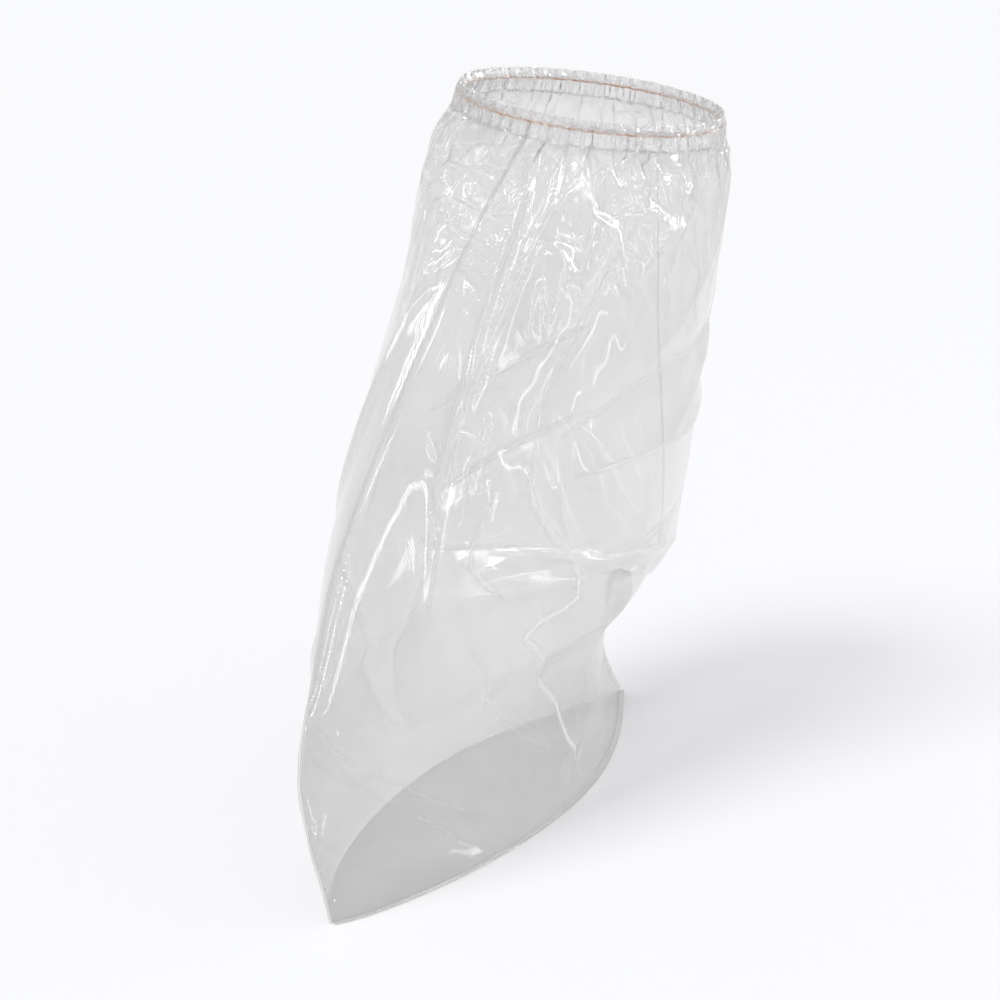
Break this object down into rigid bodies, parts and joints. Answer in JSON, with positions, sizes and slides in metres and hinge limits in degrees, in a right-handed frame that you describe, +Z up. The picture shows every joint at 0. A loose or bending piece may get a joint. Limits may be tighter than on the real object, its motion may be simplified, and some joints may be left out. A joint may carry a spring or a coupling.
{
  "type": "plastic overboot",
  "caption": "Transparent film overboot in its worn form: two welded side panels that taper to a pointed toe corner, open at the leg, with a gathered elastic hem.",
  "frame": {"origin": "centre of the elastic ring at the leg opening, where the worn overboot is held on the leg", "axes": "+Z up, away from the floor; the toe points to -Y; the wearer's left is +X; the floor is at Z = -0.410 m"},
  "size_m": [0.1886, 0.463, 0.4266],
  "materials": {
    "film": "clear glossy polyethylene film with a fine embossed diamond lattice",
    "hem_film": "the same film, gathered in two layers, so it looks milkier",
    "weld": "two film layers fused flat, slightly milky",
    "elastic": "matt orange-brown elastic thread"
  },
  "bodies": {
    "root": {"left_panel": "film", "right_panel": "film", "front_seam": "weld", "sole_seam": "weld", "back_seam": "weld", "top_hem": "hem_film", "elastic_thread": "elastic"}
  },
  "joints": []
}
